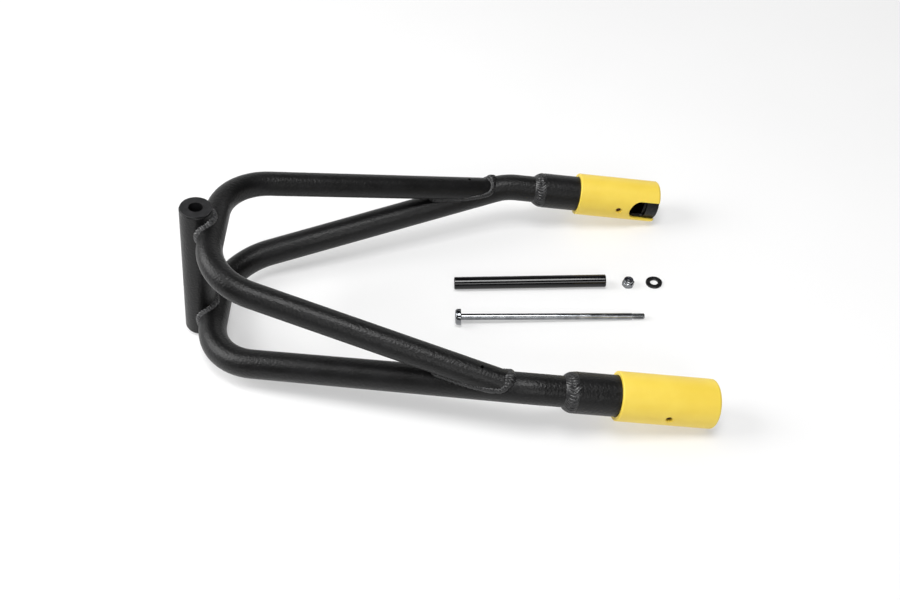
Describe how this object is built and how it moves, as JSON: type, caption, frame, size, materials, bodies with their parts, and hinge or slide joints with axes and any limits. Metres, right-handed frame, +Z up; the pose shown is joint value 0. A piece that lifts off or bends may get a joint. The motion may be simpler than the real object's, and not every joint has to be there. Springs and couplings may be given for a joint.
{
  "type": "aircraft tow bar",
  "caption": "Two-armed tubular tow fork with a pivot tube at one end, spring-loaded locking sleeves on its ball sockets, and its loose pivot bolt, spacer, nut and washer.",
  "frame": {"origin": "centre of the pivot bore, halfway along the pivot tube", "axes": "+Z up from the surface the fork rests on, +X from the pivot tube towards the sockets, +Y towards the far arm; the pivot axis leans 10.5 degrees from +Z towards +X because the fork rests on its sleeves"},
  "size_m": [0.46, 0.2976, 0.1448],
  "materials": {
    "powder_coat": "satin black powder coat, fine texture",
    "bush_plastic": "satin black acetal",
    "yellow_plastic": "satin moulded yellow plastic",
    "plunger_plastic": "satin black acetal",
    "pin_steel": "oiled plain steel",
    "spring_steel": "oiled spring wire",
    "plated_steel": "bright zinc plating",
    "black_spacer": "gloss black coating",
    "nylon_insert": "dark nylon",
    "black_washer": "gloss black coating"
  },
  "bodies": {
    "fork": {"head_tube": "powder_coat", "upper_bush": "bush_plastic", "lower_bush": "bush_plastic", "upper_hoop": "powder_coat", "lower_hoop": "powder_coat", "far_socket_tube": "powder_coat", "far_socket_weld": "powder_coat", "far_socket_plug": "powder_coat", "far_end_cap": "powder_coat", "far_return_spring": "spring_steel", "near_socket_tube": "powder_coat", "near_socket_weld": "powder_coat", "near_socket_plug": "powder_coat", "near_end_cap": "powder_coat", "near_return_spring": "spring_steel"},
    "far_sleeve": {"far_lock_sleeve": "yellow_plastic", "far_cross_pin": "pin_steel", "far_plunger": "plunger_plastic"},
    "near_sleeve": {"near_lock_sleeve": "yellow_plastic", "near_cross_pin": "pin_steel", "near_plunger": "plunger_plastic"},
    "spacer": {"pivot_spacer": "black_spacer"},
    "bolt": {"pivot_bolt": "plated_steel"},
    "nut": {"lock_nut": "plated_steel", "nut_insert": "nylon_insert"},
    "washer": {"pivot_washer": "black_washer"}
  },
  "joints": [
    {"name": "far_sleeve_slide", "type": "slide", "parent": "fork", "child": "far_sleeve", "axis": [-0.9832, 0, 0.1826], "range_m": [0, 0.032], "stiffness_N_per_m": 500, "springref_m": -0.014, "deforming": ["far_return_spring"]},
    {"name": "near_sleeve_slide", "type": "slide", "parent": "fork", "child": "near_sleeve", "axis": [-0.9832, 0, 0.1826], "range_m": [0, 0.032], "stiffness_N_per_m": 500, "springref_m": -0.014, "deforming": ["near_return_spring"]},
    {"name": "spacer_lift", "type": "slide", "parent": "fork", "child": "spacer", "axis": [0, 0, 1], "range_m": [0, 0.12]},
    {"name": "bolt_lift", "type": "slide", "parent": "fork", "child": "bolt", "axis": [0, 0, 1], "range_m": [0, 0.12]},
    {"name": "nut_lift", "type": "slide", "parent": "fork", "child": "nut", "axis": [0, 0, 1], "range_m": [0, 0.12]},
    {"name": "washer_lift", "type": "slide", "parent": "fork", "child": "washer", "axis": [0, 0, 1], "range_m": [0, 0.12]}
  ]
}
